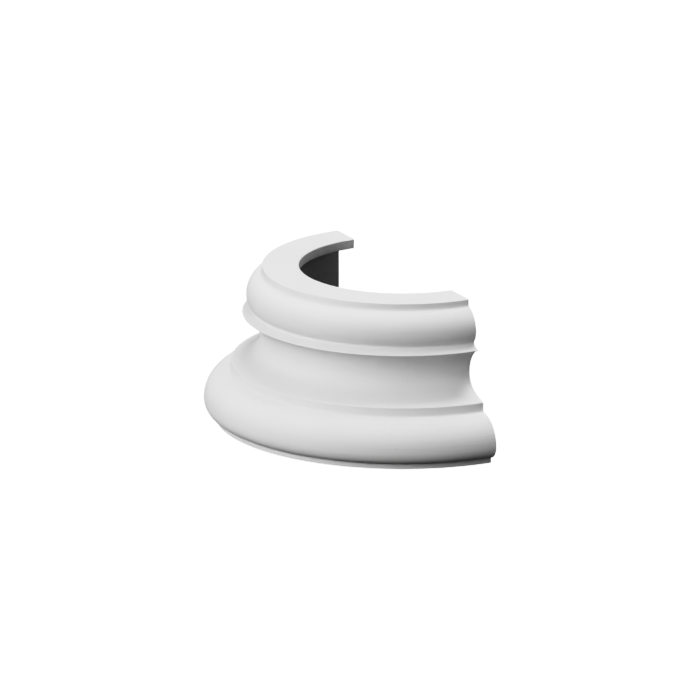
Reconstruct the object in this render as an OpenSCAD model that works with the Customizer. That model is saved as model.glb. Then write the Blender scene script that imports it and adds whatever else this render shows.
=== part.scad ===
// Half-round column base: one moulded piece that wraps the foot of a half column.
// Frame: origin on the column's axis at the underside, +Z up, +X along the cut face.
// The mouldings face -Y and the two cut ends lie in the plane y = 0, facing +Y.
// All sizes are in millimetres. Each moulding's radius is measured from the one before
// it, starting at the shaft, so a change to any of them carries on outward.

/* [Overall] */
// Diameter of the opening that the shaft stands in, which sets the size of every ring
shaft_d = 208; // [140:1:320]
// Height from the underside to the top face; the scotia takes up the difference
height = 157; // [128:1:200]

/* [Lip and hollow] */
// How far the lip reaches in over the hollow
lip_reach = 33; // [15:1:50]
// Thickness of the lip
lip_h = 10.3; // [6:0.1:20]

/* [Crown fillet] */
// Thickness of the wall between the hollow and the crown fillet
crown_wall = 4; // [3:0.5:12]
// Height of the crown fillet, the upright band at the top
crown_h = 7; // [4:0.5:12]

/* [Upper torus] */
// How far its widest point stands out from the crown fillet
ovolo_out = 16; // [10:0.5:20]
// Height from the quirk to the crown fillet
ovolo_h = 35.5; // [28:0.5:46]
// Height of the widest point above the quirk
ovolo_belly = 12.2; // [9:0.1:16]

/* [Quirk and rim] */
// How far the quirk, the notch under the upper torus, cuts in from the widest point
quirk_in = 6; // [2:0.5:8]
// How far the sharp rim stands out from the quirk
rim_out = 10; // [6:0.5:16]
// Height of the sloped face from the rim up to the quirk
splay_h = 5.3; // [3:0.1:9]
// Thickness of the rim's edge
rim_edge = 0.8; // [0.5:0.1:3]
// Width of the narrow flat under the rim, outside the scotia
rim_flat = 2; // [1:0.5:5]

/* [Scotia] */
// Thickness of the wall between the hollow and the narrowest point
throat_wall = 6.6; // [4:0.1:12]
// Height of the narrowest point, as a share of the scotia's height
throat_share = 0.48; // [0.35:0.01:0.6]
// Radius of the arc just below the narrowest point, as a share of that height
cove_share = 0.8; // [0.6:0.01:0.95]
// Radius of the long arc that sweeps out to the middle fillet
sweep_r = 70; // [50:1:160]
// How far the middle fillet stands out from the narrowest point
scotia_out = 28.7; // [22:0.1:40]

/* [Middle fillet] */
// Height of the upright band between the scotia and the lower torus
fillet_h = 9.5; // [6:0.5:14]

/* [Lower torus] */
// How far its widest point stands out from the middle fillet
torus_out = 27.7; // [20:0.1:34]
// Height from the foot to the middle fillet
torus_h = 43.3; // [34:0.1:54]
// Radius of the tight arc that turns its underside in
turn_r = 13.5; // [10:0.5:17]

/* [Foot] */
// How far the foot is set back from the lower torus
foot_in = 11; // [8:0.5:16]
// Height of the foot below the torus
foot_h = 5.7; // [3:0.1:12]

/* [Colour] */
// Colour of the moulding
primer = [0.93, 0.93, 0.92];

/* [Hidden] */
$fn = 180;

// radii, from the shaft outward
neck_r = shaft_d / 2;
hollow_r = neck_r + lip_reach;
crown_r = hollow_r + crown_wall;
ovolo_r = crown_r + ovolo_out;
quirk_r = ovolo_r - quirk_in;
rim_r = quirk_r + rim_out;
throat_r = hollow_r + throat_wall;
fillet_r = throat_r + scotia_out;
torus_r = fillet_r + torus_out;
foot_r = torus_r - foot_in;

// heights of the joints between the mouldings, from the underside up
torus_top_z = foot_h + torus_h;
fillet_top_z = torus_top_z + fillet_h;
crown_z = height - crown_h;
quirk_z = crown_z - ovolo_h;
rim_top_z = quirk_z - splay_h;
rim_z = rim_top_z - rim_edge;
scotia_h = rim_z - fillet_top_z;

// The radius of an arc that is upright at its widest or narrowest point and
// reaches a point that lies across by "across" and up or down by "rise".
function arc_r(across, rise) = (across * across + rise * rise) / (2 * across);

// lower torus: a large arc above its widest point and a tight one below it
turn_x = torus_r - turn_r;
torus_z = foot_h + sqrt(turn_r * turn_r - pow(max(0, foot_r - turn_x), 2));
torus_arc = torus_top_z - torus_z;

// upper torus: two arcs that meet upright at its widest point
ovolo_z = quirk_z + ovolo_belly;
ovolo_up_r = arc_r(ovolo_out, crown_z - ovolo_z);
ovolo_low_r = arc_r(quirk_in, ovolo_belly);

// scotia: one arc above its narrowest point, and two below it that share a
// tangent, the last of which ends on the top corner of the middle fillet
throat_rise = scotia_h * throat_share;
throat_z = fillet_top_z + throat_rise;
scotia_up_r = arc_r(rim_r - rim_flat - throat_r, rim_z - throat_z);
cove_r = throat_rise * cove_share;
cove_c = [throat_r + cove_r, throat_z];
to_corner = [fillet_r, fillet_top_z] - cove_c;
corner_l = norm(to_corner);
extra_r = sweep_r - cove_r;
lean = asin((corner_l * corner_l + extra_r * extra_r - sweep_r * sweep_r) / (2 * extra_r * corner_l));
join_a = atan2(-to_corner[1], to_corner[0]) + lean;
join_n = [sin(join_a), cos(join_a)];
sweep_c = cove_c + extra_r * join_n;
below_join = cove_c - 4 * cove_r * join_n;

// how far inner edges run into the solid, so that no two of them coincide
lap = 3;
clear_r = torus_r + 20;
cove_left = min(throat_r, below_join[0]) - lap;

module band(r0, r1, z0, z1)
    translate([r0, z0])
        square([r1 - r0, z1 - z0]);

module disc(centre, r)
    translate(centre)
        circle(r = r);

module lower_torus_section() {
    band(neck_r, foot_r, 0, torus_z);
    band(neck_r, turn_x, foot_h, torus_z);
    intersection() {
        disc([turn_x, torus_z], turn_r);
        band(turn_x, torus_r + lap, foot_h - lap, torus_z);
    }
    intersection() {
        disc([torus_r - torus_arc, torus_z], torus_arc);
        band(torus_r - torus_arc, torus_r + lap, torus_z, torus_top_z + lap);
    }
    band(neck_r, torus_r - torus_arc, torus_z, torus_top_z);
}

module scotia_void() {
    intersection() {
        disc([throat_r + scotia_up_r, throat_z], scotia_up_r);
        band(throat_r - lap, throat_r + scotia_up_r, throat_z, rim_z);
    }
    band(throat_r + scotia_up_r, clear_r, throat_z, rim_z);
    intersection() {
        disc(cove_c, cove_r);
        polygon([
            cove_c,
            below_join,
            [cove_left, below_join[1]],
            [cove_left, throat_z]
        ]);
    }
    intersection() {
        disc(sweep_c, sweep_r);
        polygon([
            cove_c,
            below_join,
            [clear_r, below_join[1]],
            [clear_r, throat_z]
        ]);
    }
}

module scotia_section()
    difference() {
        band(neck_r, fillet_r, torus_top_z - lap, rim_z);
        scotia_void();
    }

module rim_section()
    polygon([
        [neck_r, rim_z],
        [rim_r, rim_z],
        [rim_r, rim_top_z],
        [quirk_r, quirk_z],
        [neck_r, quirk_z]
    ]);

module upper_torus_section() {
    intersection() {
        disc([ovolo_r - ovolo_low_r, ovolo_z], ovolo_low_r);
        band(ovolo_r - ovolo_low_r, ovolo_r + lap, quirk_z, ovolo_z);
    }
    band(neck_r, ovolo_r - ovolo_low_r, quirk_z, ovolo_z);
    intersection() {
        disc([ovolo_r - ovolo_up_r, ovolo_z], ovolo_up_r);
        band(ovolo_r - ovolo_up_r, ovolo_r + lap, ovolo_z, crown_z + lap);
    }
    band(neck_r, crown_r, ovolo_z, height);
}

module hollow_section() {
    band(0, hollow_r, -lap, height - lip_h);
    band(0, neck_r, -lap, height + lap);
}

module section()
    difference() {
        union() {
            lower_torus_section();
            scotia_section();
            rim_section();
            upper_torus_section();
        }
        hollow_section();
    }

module column_base()
    color(primer)
        rotate([0, 0, 180])
            rotate_extrude(angle = 180)
                section();

column_base();
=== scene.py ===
import math

import bpy
import numpy as np
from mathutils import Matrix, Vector, noise
from mathutils.geometry import delaunay_2d_cdt


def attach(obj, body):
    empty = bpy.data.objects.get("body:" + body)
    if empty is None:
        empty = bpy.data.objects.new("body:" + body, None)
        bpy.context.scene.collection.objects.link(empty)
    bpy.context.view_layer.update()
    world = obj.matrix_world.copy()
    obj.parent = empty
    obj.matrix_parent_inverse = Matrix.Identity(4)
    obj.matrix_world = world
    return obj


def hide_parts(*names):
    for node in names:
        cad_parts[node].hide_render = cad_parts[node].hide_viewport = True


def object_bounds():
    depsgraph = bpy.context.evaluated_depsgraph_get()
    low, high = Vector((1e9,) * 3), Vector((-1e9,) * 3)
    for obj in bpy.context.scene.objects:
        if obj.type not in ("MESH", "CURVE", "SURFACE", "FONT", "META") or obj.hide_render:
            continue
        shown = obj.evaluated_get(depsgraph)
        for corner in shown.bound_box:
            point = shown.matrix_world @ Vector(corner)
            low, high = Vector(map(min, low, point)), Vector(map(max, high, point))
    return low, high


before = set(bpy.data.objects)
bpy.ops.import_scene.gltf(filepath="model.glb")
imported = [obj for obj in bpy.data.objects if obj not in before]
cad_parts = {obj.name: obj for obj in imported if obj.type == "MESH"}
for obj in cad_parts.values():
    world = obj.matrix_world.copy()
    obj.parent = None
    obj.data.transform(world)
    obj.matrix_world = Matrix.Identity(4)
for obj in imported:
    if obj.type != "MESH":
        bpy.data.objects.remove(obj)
cad_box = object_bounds()

MM = 0.001

# ---------------------------------------------------------------- named sizes, in mm
# The same profile as the CAD solid: radii from the column's axis, and each moulding's own
# height. HEIGHT is the whole part's; the scotia takes what the others leave.
NECK_R = 104.0        # the lip's inner edge, where the shaft passes
LIP_H = 10.3
HOLLOW_R = 137.0
CROWN_R = 141.0
CROWN_H = 7.0
OVOLO_R = 157.0
OVOLO_H = 35.5
OVOLO_BELLY = 12.2
QUIRK_R = 151.0
RIM_R = 161.0
SPLAY_H = 5.3
RIM_EDGE = 0.8
RIM_FLAT = 2.0
THROAT_R = 143.6
THROAT_SHARE = 0.48
COVE_SHARE = 0.8
SWEEP_R = 70.0
FILLET_R = 172.3
FILLET_H = 9.5
TORUS_R = 200.0
TORUS_H = 43.3
TURN_R = 13.5
FOOT_R = 189.0
FOOT_H = 5.7
HEIGHT = 157.0

# What the mould and the primer do to it: how far a rounding reaches along each face.
ARRIS = 0.9
SOFT_ARRIS = 1.7      # on the face that follows a fillet's or the rim's arris
RIM_ROUND = 0.32
END_ROUND = 0.5       # round the cut ends
CREASE = 2.2          # primer fills an inner corner more than it rounds an outer one
SHARP_CREASE = 0.5
HOLLOW_CREASE = 3.0
QUIRK_SPLAY = 5.5     # the quirk's filling, down the splay
QUIRK_RISE = 3.4      # and up the torus
ROUND_BENDS = 5       # segments in a rounding
CLEAR = 0.25          # least distance from a rounding to the next point

# Mesh spacing.
STEP_OUT = 1.5        # on arcs
STEP_FLAT = 2.4       # on straight runs that show
STEP_IN = 4.0         # on straight runs inside and below
RUN_END = 0.35        # from a straight run's end to its first point
TURNS = 270           # sections round the half circle
END_ANGLES = [0, 25, 50, 75, 90]      # of the rounding at a cut end, in degrees
END_GAP = 1.3         # from a cut end's rounding to the first section, in END_ROUNDs
CAP_GRID = 6.0

# The surface's unevenness, always into the solid: depth, size across and noise seed.
SHOW_WAVE = (0.07, 34, 11)
SHOW_RIPPLE = (0.02, 10, 13)
RAW_WAVE = (0.22, 26, 3)
RAW_RIPPLE = (0.05, 7, 5)
RAGGED_LIP = (0.45, 4.5, 9)
RAGGED_FOOT = (0.22, 6, 17)
SAW_MARKS = (0.10, 5, 21)
SAW_STRETCH = 0.25
RAGGED_WIDTH_LIP, RAGGED_WIDTH_FOOT = 1.6, 1.5
RAW_FADE_OUT = (3.2, 0.4)             # from the hollow's wall outwards, fully raw last
RAW_FADE_DOWN = (0.8, 6.0)            # from the top face downwards, fully raw last


# ---------------------------------------------------------------- the section
def arc(cx, cz, r, a0, a1):
    """Points on an arc, angles in degrees from +r towards +z, both ends included."""
    n = max(3, int(math.ceil(abs(math.radians(a1 - a0)) * r / STEP_OUT)))
    return [(cx + r * math.cos(t), cz + r * math.sin(t))
            for t in np.radians(np.linspace(a0, a1, n + 1))]


def arc_radius(across, rise):
    """Radius of the arc that starts upright and goes `across` while it rises `rise`."""
    return (across * across + rise * rise) / (2 * across)


def angle_at(cx, cz, x, z):
    """Direction in degrees from the centre to the point."""
    return math.degrees(math.atan2(z - cz, x - cx))


def section():
    """The outline anticlockwise from the hollow's foot: out under the foot, up the
    mouldings, over the top and down the hollow. Returns its points and, for each corner's
    index, how far that corner's rounding reaches before it and after it."""
    pts, corners = [], {}

    def corner(x, z, before, after=None):
        corners[len(pts)] = (before, before if after is None else after)
        pts.append((x, z))

    torus_top = FOOT_H + TORUS_H
    fillet_top = torus_top + FILLET_H
    crown_z = HEIGHT - CROWN_H
    quirk_z = crown_z - OVOLO_H
    rim_top = quirk_z - SPLAY_H
    rim_z = rim_top - RIM_EDGE
    scotia = rim_z - fillet_top

    # foot, and the lower torus's two arcs
    corner(HOLLOW_R, 0, ARRIS)
    corner(FOOT_R, 0, ARRIS)
    turn_x = TORUS_R - TURN_R
    torus_z = FOOT_H + math.sqrt(TURN_R ** 2 - (FOOT_R - turn_x) ** 2)
    corner(FOOT_R, FOOT_H, SHARP_CREASE)
    start = angle_at(turn_x, torus_z, FOOT_R, FOOT_H)
    pts += arc(turn_x, torus_z, TURN_R, start, 0)[1:]
    big = torus_top - torus_z
    big_x = TORUS_R - big
    stop = math.degrees(math.acos((FILLET_R - big_x) / big))
    pts += arc(big_x, torus_z, big, 0, stop)[1:-1]
    corner(FILLET_R, torus_z + big * math.sin(math.radians(stop)), CREASE)

    # middle fillet, and the scotia's three arcs from the outside in
    corner(FILLET_R, fillet_top, ARRIS, SOFT_ARRIS)
    rise = scotia * THROAT_SHARE
    throat_z = fillet_top + rise
    cove = rise * COVE_SHARE
    cove_x = THROAT_R + cove
    wx, wz = FILLET_R - cove_x, fillet_top - throat_z
    reach = math.hypot(wx, wz)
    extra = SWEEP_R - cove
    lean = math.asin((reach ** 2 + extra ** 2 - SWEEP_R ** 2) / (2 * extra * reach))
    join = math.atan2(-wz, wx) + lean
    nx, nz = math.sin(join), math.cos(join)
    sweep_x, sweep_z = cove_x + extra * nx, throat_z + extra * nz
    join_x, join_z = cove_x - cove * nx, throat_z - cove * nz
    pts += arc(sweep_x, sweep_z, SWEEP_R,
               angle_at(sweep_x, sweep_z, FILLET_R, fillet_top),
               angle_at(sweep_x, sweep_z, join_x, join_z))[1:]
    pts += arc(cove_x, throat_z, cove,
               angle_at(cove_x, throat_z, join_x, join_z), -180)[1:]
    flat_x = RIM_R - RIM_FLAT
    upper = arc_radius(flat_x - THROAT_R, rim_z - throat_z)
    upper_x = THROAT_R + upper
    pts += arc(upper_x, throat_z, upper, 180,
               angle_at(upper_x, throat_z, flat_x, rim_z))[1:-1]

    # rim, splay and quirk
    corner(flat_x, rim_z, SHARP_CREASE)
    corner(RIM_R, rim_z, RIM_ROUND)
    corner(RIM_R, rim_top, RIM_ROUND, SOFT_ARRIS)
    corner(QUIRK_R, quirk_z, QUIRK_SPLAY, QUIRK_RISE)

    # upper torus's two arcs
    low = arc_radius(OVOLO_R - QUIRK_R, OVOLO_BELLY)
    belly_z = quirk_z + OVOLO_BELLY
    pts += arc(OVOLO_R - low, belly_z, low,
               angle_at(OVOLO_R - low, belly_z, QUIRK_R, quirk_z), 0)[1:]
    top = arc_radius(OVOLO_R - CROWN_R, crown_z - belly_z)
    pts += arc(OVOLO_R - top, belly_z, top, 0,
               angle_at(OVOLO_R - top, belly_z, CROWN_R, crown_z))[1:-1]
    corner(CROWN_R, crown_z, CREASE)

    # crown fillet, top face, lip and hollow
    corner(CROWN_R, HEIGHT, ARRIS, SOFT_ARRIS)
    corner(NECK_R, HEIGHT, ARRIS)
    corner(NECK_R, HEIGHT - LIP_H, ARRIS)
    corner(HOLLOW_R, HEIGHT - LIP_H, HOLLOW_CREASE)
    return np.array(pts), corners


def along(pts, lengths, s):
    """The point at distance s along a closed outline."""
    s = s % lengths[-1]
    i = min(int(np.searchsorted(lengths, s, side="right")) - 1, len(pts) - 1)
    part = (s - lengths[i]) / max(lengths[i + 1] - lengths[i], 1e-9)
    return pts[i] + (pts[(i + 1) % len(pts)] - pts[i]) * part


def rounded(pts, corners):
    """The closed outline with each listed corner replaced by a short curve that starts and
    ends its reach away, without the points that the curve swallows."""
    step = np.linalg.norm(np.roll(pts, -1, axis=0) - pts, axis=1)
    lengths = np.concatenate([[0], np.cumsum(step)])
    total = lengths[-1]
    out = []
    for i, p in enumerate(pts):
        if i in corners:
            before, after = corners[i]
            a = along(pts, lengths, lengths[i] - before)
            b = along(pts, lengths, lengths[i] + after)
            for t in np.linspace(0, 1, ROUND_BENDS + 1):
                out.append((1 - t) ** 2 * a + 2 * t * (1 - t) * p + t * t * b)
            continue
        clear = 1e9
        for c, (before, after) in corners.items():
            ahead = (lengths[i] - lengths[c]) % total
            clear = min(clear, ahead - after, total - ahead - before)
        if clear > CLEAR:
            out.append(p)
    return np.array(out)


def divided(outline):
    """The outline with its long straight runs cut up. A point close to each end of a run
    keeps the smooth shading of a rounding from spreading over the flat beside it."""
    out = []
    for i, p in enumerate(outline):
        q = outline[(i + 1) % len(outline)]
        gap = np.linalg.norm(q - p)
        hidden = max(p[0], q[0]) < HOLLOW_R + 0.5 or max(p[1], q[1]) < 0.5
        cuts = int(gap // (STEP_IN if hidden else STEP_FLAT))
        out.append(p)
        if cuts:
            end = RUN_END / gap
            out += [p + (q - p) * t
                    for t in [end, *(np.arange(1, cuts + 1) / (cuts + 1)), 1 - end]]
    return np.array(out)


def normals(outline):
    """Outward unit normals of a closed anticlockwise outline."""
    t = np.roll(outline, -1, axis=0) - np.roll(outline, 1, axis=0)
    t /= np.linalg.norm(t, axis=1)[:, None]
    return np.stack([t[:, 1], -t[:, 0]], axis=1)


# Room to draw a point in: a share of the radius of each outer bend within reach, and of the
# distance to it.
BEND_SHARE, GAP_SHARE, BEND_REACH = 0.55, 0.2, 2.0
STRAIGHT = 1e-3       # a smaller turn than this, in radians, is no bend
ENDLESS = 1e3


def spare(outline, most):
    """How far each point may be drawn in without its neighbours crossing: less beside a
    tight outer corner such as the rim's."""
    ahead = np.roll(outline, -1, axis=0) - outline
    behind = outline - np.roll(outline, 1, axis=0)
    turn = np.arctan2(behind[:, 0] * ahead[:, 1] - behind[:, 1] * ahead[:, 0],
                      (behind * ahead).sum(axis=1))
    length = (np.linalg.norm(ahead, axis=1) + np.linalg.norm(behind, axis=1)) / 2
    radius = np.where(turn > STRAIGHT, length / np.maximum(turn, STRAIGHT), ENDLESS)
    apart = np.linalg.norm(outline[:, None] - outline[None], axis=2)
    room = radius[None] * BEND_SHARE + apart * GAP_SHARE
    room = np.where(apart < BEND_REACH, room, ENDLESS).min(axis=1)
    return np.minimum(room, most)


# ---------------------------------------------------------------- the surface's unevenness
def uneven(p, kind):
    """Smooth noise from 0 to the kind's depth."""
    depth, size, seed = kind
    place = Vector(p) / size + Vector((seed, 1.7 * seed, -seed))
    return depth * (0.5 + 0.5 * noise.noise(place))


def near(value, target, width):
    """1 at the target, and close to 0 two widths away."""
    return math.exp(-((value - target) / width) ** 2)


def fade(value, start, end):
    """0 at start, 1 at end, eased and clamped."""
    t = min(max((value - start) / (end - start), 0.0), 1.0)
    return t * t * (3 - 2 * t)


def sunk(r, z, x, y):
    """How far, in mm, the surface lies below the ideal one at this place: gentle on the
    primed mouldings, coarser where foam was cast on the core, ragged along raw edges."""
    p = (x, y, z)
    out_far, out_close = RAW_FADE_OUT
    down_close, down_far = RAW_FADE_DOWN
    raw = fade(r, HOLLOW_R + out_far, HOLLOW_R + out_close)
    raw *= fade(z, HEIGHT - down_close, HEIGHT - down_far)
    depth = 0.0
    if raw > 0:
        depth += raw * (uneven(p, RAW_WAVE) + uneven(p, RAW_RIPPLE))
        edge = near(r, NECK_R, RAGGED_WIDTH_LIP) * near(z, HEIGHT - LIP_H, RAGGED_WIDTH_LIP)
        depth += edge * uneven(p, RAGGED_LIP)
    if raw < 1:
        edge = near(r, FOOT_R, RAGGED_WIDTH_FOOT) * near(z, 0, RAGGED_WIDTH_FOOT)
        show = uneven(p, SHOW_WAVE) + uneven(p, SHOW_RIPPLE) + edge * uneven(p, RAGGED_FOOT)
        depth += (1 - raw) * show
    return depth


def sawn(x, z):
    """Depth of a cut end's faint saw marks, which run across it."""
    return uneven((x * SAW_STRETCH, 40, z), SAW_MARKS)


# ---------------------------------------------------------------- the piece
ROW_HEIGHT = 0.87     # rows of points in a cut end, in CAP_GRIDs, for even triangles
CAP_MARGIN = 0.45     # from the outline to the nearest of them, in CAP_GRIDs
CDT_OUTPUT, CDT_EPSILON = 1, 1e-7     # triangles inside the outline only


def inside(edge, x, z):
    """Whether the point is within the closed outline."""
    far = np.roll(edge, -1, axis=0)
    spans = (edge[:, 1] > z) != (far[:, 1] > z)
    a, b = edge[spans], far[spans]
    at = a[:, 0] + (z - a[:, 1]) / (b[:, 1] - a[:, 1]) * (b[:, 0] - a[:, 0])
    return np.count_nonzero(at > x) % 2 == 1


def end_cap(shape):
    """A cut end's flat face: points inside the outline, and triangles whose indices count
    the outline's own points first."""
    lo, hi = shape.min(axis=0), shape.max(axis=0)
    more = []
    for row, z in enumerate(np.arange(lo[1] + CAP_GRID / 2, hi[1], CAP_GRID * ROW_HEIGHT)):
        shift = (row % 2) * CAP_GRID / 2
        for x in np.arange(lo[0] + CAP_GRID / 2 + shift, hi[0], CAP_GRID):
            gap = np.min(np.hypot(shape[:, 0] - x, shape[:, 1] - z))
            if gap > CAP_GRID * CAP_MARGIN and inside(shape, x, z):
                more.append((x, z))
    flat = [Vector(p) for p in shape] + [Vector(p) for p in more]
    border = [list(range(len(shape)))]
    _, _, tris, source, _, _ = delaunay_2d_cdt(flat, [], border, CDT_OUTPUT, CDT_EPSILON)
    return more, [[source[i][0] for i in tri] for tri in tris]


def lathe(name, outline):
    """The outline swept through the half circle, closed by two flat cut ends whose arrises
    are rounded."""
    m = len(outline)
    normal = normals(outline)
    # the CAD's half circle is faceted, so its front is this much less deep than a true one
    deepest = -cad_box[0][1] / (TORUS_R * MM)

    def ring(t):
        x, y = math.cos(t), -math.sin(t)
        down = np.array([sunk(r, z, r * x, r * y) for r, z in outline])
        shape = outline - normal * down[:, None]
        return [(r * x, r * y * deepest, z) for r, z in shape]

    def end_ring(side, back, draw):
        down = np.array([sunk(r, z, side * r, 0) for r, z in outline])
        shape = outline - normal * down[:, None]
        shape -= normals(shape) * spare(shape, END_ROUND)[:, None] * draw
        return shape, [(side * math.sqrt(r * r - back * back), -back, z) for r, z in shape]

    bends = [(END_ROUND * (1 - math.cos(a)), 1 - math.sin(a))
             for a in np.radians(END_ANGLES)]
    start = END_ROUND / NECK_R * END_GAP
    right = [end_ring(1, *bend) for bend in bends]
    left = [end_ring(-1, *bend) for bend in reversed(bends)]
    verts = [p for _, points in right for p in points]
    for t in np.linspace(start, math.pi - start, TURNS):
        verts += ring(t)
    verts += [p for _, points in left for p in points]

    rings = len(verts) // m
    faces = [(k * m + j, k * m + (j + 1) % m, (k + 1) * m + (j + 1) % m, (k + 1) * m + j)
             for k in range(rings - 1) for j in range(m)]
    for side, first, shape in ((1, 0, right[0][0]), (-1, (rings - 1) * m, left[-1][0])):
        more, tris = end_cap(shape)
        extra = len(verts)
        verts += [(side * x, -sawn(x, z), z) for x, z in more]
        for tri in tris:
            ids = [first + i if i < m else extra + i - m for i in tri]
            faces.append(ids if side < 0 else ids[::-1])
    mesh = bpy.data.meshes.new(name)
    mesh.from_pydata([Vector(v) * MM for v in verts], [], faces)
    mesh.validate()
    mesh.shade_smooth()
    piece = bpy.data.objects.new(name, mesh)
    bpy.context.collection.objects.link(piece)
    return piece


# ---------------------------------------------------------------- material
class Tree:
    """A short way to write shader nodes."""

    def __init__(self, name):
        self.mat = bpy.data.materials.new(name)
        self.mat.use_nodes = True
        self.nodes = self.mat.node_tree.nodes
        self.links = self.mat.node_tree.links
        self.shader = self.nodes["Principled BSDF"]

    def node(self, kind, inputs=None, **settings):
        made = self.nodes.new("ShaderNode" + kind)
        for key, value in settings.items():
            setattr(made, key, value)
        for key, value in (inputs or {}).items():
            if isinstance(value, bpy.types.NodeSocket):
                self.links.new(value, made.inputs[key])
            else:
                made.inputs[key].default_value = value
        return made

    def math(self, operation, a, b=0.0, c=0.0):
        return self.node("Math", {0: a, 1: b, 2: c}, operation=operation).outputs[0]

    def ramp(self, value, low, high, out_low=0.0, out_high=1.0):
        """value from low to high becomes out_low to out_high, eased and clamped."""
        inputs = {"Value": value, "From Min": low, "From Max": high,
                  "To Min": out_low, "To Max": out_high}
        return self.node("MapRange", inputs, interpolation_type="SMOOTHSTEP").outputs[0]

    def noise(self, where, scale, detail=2.0, rough=0.5):
        inputs = {"Vector": where, "Scale": scale, "Detail": detail, "Roughness": rough}
        return self.node("TexNoise", inputs).outputs[0]

    def mix(self, factor, a, b):
        inputs = {0: factor, 6: a, 7: b}
        return self.node("Mix", inputs, data_type="RGBA").outputs[2]

    def bump(self, height, strength, distance, normal=None):
        inputs = {"Height": height, "Strength": strength, "Distance": distance}
        if normal is not None:
            inputs["Normal"] = normal
        return self.node("Bump", inputs).outputs[0]


PRIMER = (0.90, 0.90, 0.90, 1)
PRIMER_THIN = (0.84, 0.84, 0.84, 1)
# the bare foam's greys, darkened so that they paint the shade in the hollow
FOAM_AND_SHADE_GREY = (0.34, 0.34, 0.34, 1)
FOAM_CELL_AND_SHADE_GREY = (0.27, 0.27, 0.27, 1)
DUST = (0.52, 0.52, 0.52, 1)
PORE = (0.16, 0.16, 0.16, 1)

# Pattern scales, in features to the metre or so.
CLOUDS, BLOTCHES, SHEEN = 22, 70, 130
CELLS, PORES, PORE_PATCHES = 900, 260.0, 240
SPECKS, SPECK_PATCHES = 85.0, 60
TURNING, PEEL, SAW = 420, 520, 330
DRAWN_ROUND, DRAWN_ACROSS = 0.004, 0.06    # how much a mark's length is drawn out

# Strengths of the colours' mixing.
CLOUD_MOST, PORE_MOST, SPECK_MOST = 0.35, 0.55, 0.6
# the lip's mist share also sets how far the lip, as painted light, rises above the hollow's
# painted shade
LIP_MIST_AND_LIGHT, TRIM_MIST = 0.63, 0.7

# Bumps: strength and distance in metres.
TURNING_BUMP = (0.35, 0.00030)
PEEL_BUMP = (0.30, 0.00020)
SPECK_BUMP = (0.6, 0.0003)
SAW_BUMP = (0.6, 0.0006)
FOAM_BUMP = (0.4, 0.0004)

ROUGH_LOW, ROUGH_HIGH, ROUGH_BARE = 0.66, 0.80, 0.92
SPECULAR = 0.22


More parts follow.
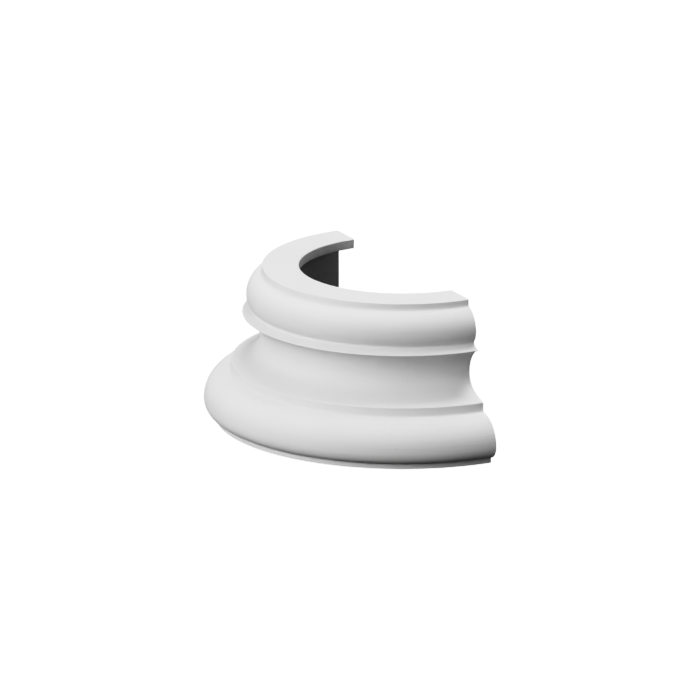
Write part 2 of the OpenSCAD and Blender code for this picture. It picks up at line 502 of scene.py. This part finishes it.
def primed_foam(name):
    """White primer over hard foam: faint turning marks that run with the mouldings, an
    orange-peel skin, rare pits and specks. Inside, the foam is bare with open pores, its
    dark grey painted shade for the hollow under the lip; on the lip's edge, the sawn ends
    and below, a mist of primer covers it."""
    t = Tree(name)
    place = t.node("NewGeometry").outputs["Position"]
    split = t.node("SeparateXYZ", {0: place})
    x, y, z = split.outputs
    radius = t.math("SQRT", t.math("MULTIPLY_ADD", x, x, t.math("MULTIPLY", y, y)))
    turn = t.math("ARCTAN2", y, x)
    # radius and height at full scale, the way round the column much drawn out
    turned = {0: radius, 1: t.math("MULTIPLY", turn, DRAWN_ROUND), 2: z}
    turned = t.node("CombineXYZ", turned).outputs[0]

    # where foam is bare, its dark grey painted shade in the hollow: 0 on the mouldings and
    # the top face
    in_hollow = t.ramp(radius, (HOLLOW_R + 2.0) * MM, (HOLLOW_R + 1.0) * MM)
    under_top = t.ramp(z, (HEIGHT - 0.5) * MM, (HEIGHT - 1.3) * MM)
    at_end = t.ramp(y, -0.7 * MM, -0.2 * MM)
    below = t.ramp(z, 0.8 * MM, 0.2 * MM)
    trimmed = t.math("MAXIMUM", at_end, below)
    bare = t.math("MAXIMUM", t.math("MULTIPLY", in_hollow, under_top), trimmed)

    # colour
    cloud = t.noise(place, CLOUDS, 3)
    white = t.mix(t.ramp(cloud, 0.3, 0.75, 0.0, CLOUD_MOST), PRIMER, PRIMER_THIN)
    cells = t.noise(place, CELLS, 2, 0.6)
    # bare foam, its dark grey painted shade in the hollow
    foam_and_shade = t.mix(t.ramp(cells, 0.35, 0.65), FOAM_CELL_AND_SHADE_GREY, FOAM_AND_SHADE_GREY)
    bubble = t.node("TexVoronoi", {"Vector": place, "Scale": PORES}).outputs["Distance"]
    chosen = t.ramp(t.noise(place, PORE_PATCHES, 1), 0.50, 0.56)
    pore = t.math("MULTIPLY", t.ramp(bubble, 0.22, 0.12), chosen)
    # the primer's mist settles on the lip's edge, and more on the trimmed faces; on the lip
    # it is also painted light, lifting the lip above the painted shade of the hollow's wall
    blotch = t.ramp(t.noise(place, BLOTCHES, 3), 0.2, 0.8, 0.8, 1.2)
    lip_mist_and_light = t.ramp(radius, (NECK_R + 8) * MM, (NECK_R + 2) * MM, 0.0, LIP_MIST_AND_LIGHT)
    on_trim = t.math("MULTIPLY", trimmed, TRIM_MIST)
    mist = t.math("MULTIPLY", t.math("MAXIMUM", lip_mist_and_light, on_trim), blotch)
    foam_and_shade = t.mix(mist, foam_and_shade, PRIMER_THIN)
    foam_and_shade = t.mix(t.math("MULTIPLY", pore, PORE_MOST), foam_and_shade, PORE)
    # where foam is bare, its painted shade takes the place of the white
    colour = t.mix(bare, white, foam_and_shade)
    # rare specks, each a pit with dust in it
    spot = t.node("TexVoronoi", {"Vector": place, "Scale": SPECKS}).outputs["Distance"]
    pick = t.noise(place, SPECK_PATCHES, 1)
    speck = t.math("MULTIPLY", t.ramp(spot, 0.075, 0.035), t.ramp(pick, 0.56, 0.62))
    colour = t.mix(t.math("MULTIPLY", speck, SPECK_MOST), colour, DUST)
    t.links.new(colour, t.shader.inputs["Base Color"])

    # roughness
    sheen = t.ramp(t.noise(place, SHEEN, 3), 0.3, 0.7, ROUGH_LOW, ROUGH_HIGH)
    rough = t.math("MAXIMUM", sheen, t.math("MULTIPLY", bare, ROUGH_BARE))
    t.links.new(rough, t.shader.inputs["Roughness"])
    t.shader.inputs["Specular IOR Level"].default_value = SPECULAR

    # relief
    normal = t.bump(t.noise(turned, TURNING, 3, 0.6), *TURNING_BUMP)
    normal = t.bump(t.noise(place, PEEL, 2), *PEEL_BUMP, normal)
    normal = t.bump(t.math("MULTIPLY", speck, -1.0), *SPECK_BUMP, normal)
    drawn = {0: t.math("MULTIPLY", x, DRAWN_ACROSS), 1: 0.0, 2: z}
    drawn = t.node("CombineXYZ", drawn).outputs[0]
    saw = t.math("MULTIPLY", t.noise(drawn, SAW, 2, 0.6), at_end)
    normal = t.bump(saw, *SAW_BUMP, normal)
    rough_foam = t.math("MULTIPLY", t.math("SUBTRACT", cells, pore), bare)
    normal = t.bump(rough_foam, *FOAM_BUMP, normal)
    t.links.new(normal, t.shader.inputs["Normal"])
    return t.mat


outline = divided(rounded(*section()))
base = lathe("half_column_base", outline)
base.data.materials.append(primed_foam("primed_foam"))
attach(base, "root")
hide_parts("column_base")

# ---------------------------------------------------------------- camera
# The photograph's viewing direction, through a long lens.
AZIMUTH, ELEVATION = 62.4, 16.56
DISTANCE = 10.035
LENS = 515.5              # mm
SENSOR = 36               # mm
FAR_CLIP = 100
AIM_RIGHT, AIM_UP = 0.0360, 0.0024        # from the middle of the object's box


def direction(azimuth, elevation):
    """Unit vector from the object towards an azimuth and elevation in degrees; azimuth 0
    is the front, -Y, and 90 is +X."""
    a, e = math.radians(azimuth), math.radians(elevation)
    return Vector((math.sin(a) * math.cos(e), -math.cos(a) * math.cos(e), math.sin(e)))


def camera():
    """The scene's camera, placed from the object's box."""
    back = direction(AZIMUTH, ELEVATION)
    a = math.radians(AZIMUTH)
    right = Vector((math.cos(a), math.sin(a), 0))
    up = back.cross(right)
    middle = (Vector(cad_box[0]) + Vector(cad_box[1])) / 2
    data = bpy.data.cameras.new("camera")
    data.sensor_width = SENSOR
    data.lens = LENS
    data.clip_end = FAR_CLIP
    cam = bpy.data.objects.new("camera", data)
    cam.location = middle + right * AIM_RIGHT + up * AIM_UP + back * DISTANCE
    cam.rotation_euler = back.to_track_quat("Z", "Y").to_euler()
    bpy.context.collection.objects.link(cam)
    bpy.context.scene.camera = cam


# ---------------------------------------------------------------- light and stage
LAMP_SIZE, LAMP_DISTANCE = 1.6, 3.0
LAMP_AIM = Vector((0, -0.08, 0.08))       # the middle of the mouldings

STUDIO_REACH, STUDIO_BEND, STUDIO_TOP = 16.0, 4.0, 14.0      # the white sweep's, in metres
STUDIO_SIDES, STUDIO_STEPS = 48, 8
FLOOR_DROP = 0.0003       # the floor lies this far below the object
STUDIO_GREY = (0.3, 0.3, 0.3, 1)
STUDIO_ROUGH, STUDIO_SPECULAR = 0.9, 0.1

WHITE = 2.0               # the sweep's own brightness, which only the camera sees
SHOULDER_TOP, SHOULDER_BEND = 0.88, 4
SHOULDER_TONES = (0.15, 0.3, 0.45, 0.55, 0.65, 0.75, 0.85, 0.95, 1.1, 1.3)


def softbox(name, turn, elevation, watts):
    """A round lamp aimed at the object; turn is its angle from the camera, to the right."""
    way = direction(AZIMUTH + turn, elevation)
    data = bpy.data.lights.new(name, "AREA")
    data.shape = "DISK"
    data.size = LAMP_SIZE
    data.energy = watts
    lamp = bpy.data.objects.new(name, data)
    lamp.location = LAMP_AIM + way * LAMP_DISTANCE
    lamp.rotation_euler = way.to_track_quat("Z", "Y").to_euler()
    bpy.context.collection.objects.link(lamp)


def stage():
    """A plain white studio sweep: a round floor that curves up into a wall."""
    flat = STUDIO_REACH - STUDIO_BEND
    profile = [(0.5, 0), (2, 0), (flat, 0)]
    profile += [(flat + STUDIO_BEND * math.sin(t), STUDIO_BEND * (1 - math.cos(t)))
                for t in np.linspace(0, math.pi / 2, STUDIO_STEPS + 1)[1:]]
    profile.append((STUDIO_REACH, STUDIO_TOP))
    verts = [(r * math.cos(t), r * math.sin(t), z - FLOOR_DROP)
             for t in np.linspace(0, 2 * math.pi, STUDIO_SIDES, endpoint=False)
             for r, z in profile]
    n = len(profile)
    faces = []
    for k in range(STUDIO_SIDES):
        here, after = k * n, (k + 1) % STUDIO_SIDES * n
        faces += [(here + j, after + j, after + j + 1, here + j + 1) for j in range(n - 1)]
    faces.append([k * n for k in reversed(range(STUDIO_SIDES))])
    mesh = bpy.data.meshes.new("floor")
    mesh.from_pydata(verts, [], faces)
    slab = bpy.data.objects.new("floor", mesh)
    bpy.context.collection.objects.link(slab)
    mat = bpy.data.materials.new("studio_white")
    mat.use_nodes = True
    shader = mat.node_tree.nodes["Principled BSDF"]
    shader.inputs["Base Color"].default_value = STUDIO_GREY
    shader.inputs["Roughness"].default_value = STUDIO_ROUGH
    shader.inputs["Specular IOR Level"].default_value = STUDIO_SPECULAR
    shader.inputs["Emission Color"].default_value = (1, 1, 1, 1)
    shader.inputs["Emission Strength"].default_value = WHITE
    mesh.materials.append(mat)
    slab.visible_diffuse = False
    slab.visible_glossy = False


def dark_world():
    """No light but the lamps."""
    sky = bpy.data.worlds.new("studio")
    bpy.context.scene.world = sky
    sky.use_nodes = True
    sky.node_tree.nodes["Background"].inputs["Strength"].default_value = 0.0


def shoulder():
    """The plain display transform with a photograph's soft shoulder: bright tones flatten
    towards SHOULDER_TOP, and only the sweep, at WHITE, comes out pure white."""
    view = bpy.context.scene.view_settings
    view.view_transform = "Standard"
    view.look = "None"
    view.use_curve_mapping = True
    curve = view.curve_mapping
    curve.white_level = (WHITE, WHITE, WHITE)
    for tone in SHOULDER_TONES:
        bent = tone / (1 + (tone / SHOULDER_TOP) ** SHOULDER_BEND) ** (1 / SHOULDER_BEND)
        curve.curves[3].points.new(tone / WHITE, bent)
    curve.update()


camera()
softbox("key", -45, 28, 61.4)
softbox("overhead", 135, 72, 60.2)
softbox("top", 0, 87, 17.7)
softbox("left", -90, 5, 25.3)
softbox("right", 70, 28, 6.5)
softbox("low", 25, 8, 4.4)
softbox("behind", 150, 12, 10.0)
stage()
dark_world()
shoulder()
